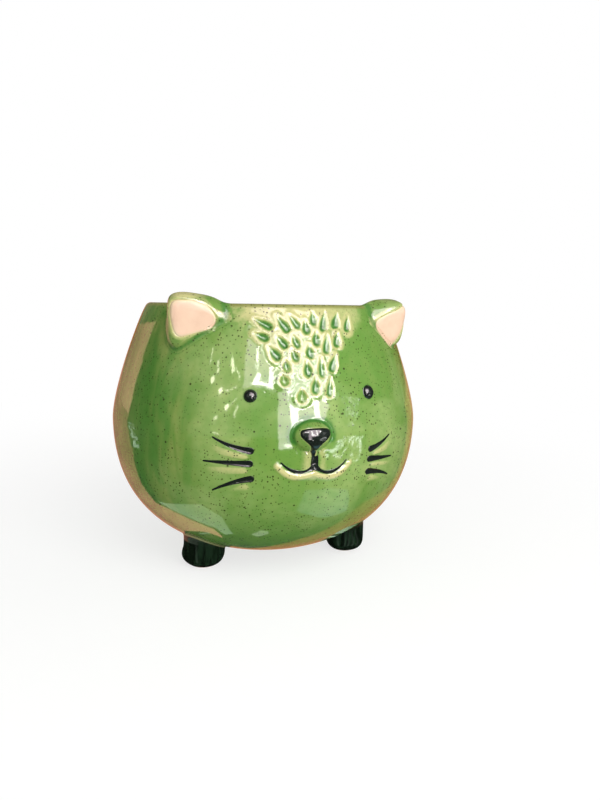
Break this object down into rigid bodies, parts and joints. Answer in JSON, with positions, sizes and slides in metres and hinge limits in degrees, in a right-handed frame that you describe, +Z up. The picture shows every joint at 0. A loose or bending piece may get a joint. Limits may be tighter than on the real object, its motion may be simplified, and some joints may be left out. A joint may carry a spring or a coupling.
{
  "type": "planter",
  "caption": "Round glazed planter in the form of a cat, with thick ears, a carved face and whiskers, on short stub feet.",
  "frame": {"origin": "on the ground, under the middle of the object's box", "axes": "+Z up out of the pot's mouth, -Y the way the face looks, +X to the right of someone who looks at the face"},
  "size_m": [0.14, 0.1449, 0.1188],
  "materials": {
    "green_glaze": "glossy, speckled",
    "black_glaze": "glossy",
    "dark_green_glaze": "glossy",
    "bare_clay": "matte"
  },
  "bodies": {
    "root": {"pot_body": "green_glaze", "left_ear": "green_glaze", "right_ear": "green_glaze", "left_ear_lining": "bare_clay", "right_ear_lining": "bare_clay", "left_eye": "black_glaze", "right_eye": "black_glaze", "nose_boss": "green_glaze", "nose_pad": "black_glaze", "mouth_line": "black_glaze", "left_whisker_upper": "black_glaze", "left_whisker_middle": "black_glaze", "left_whisker_lower": "black_glaze", "right_whisker_upper": "black_glaze", "right_whisker_middle": "black_glaze", "right_whisker_lower": "black_glaze", "foot_front_left": "dark_green_glaze", "foot_front_right": "dark_green_glaze", "foot_rear": "dark_green_glaze"}
  },
  "joints": []
}
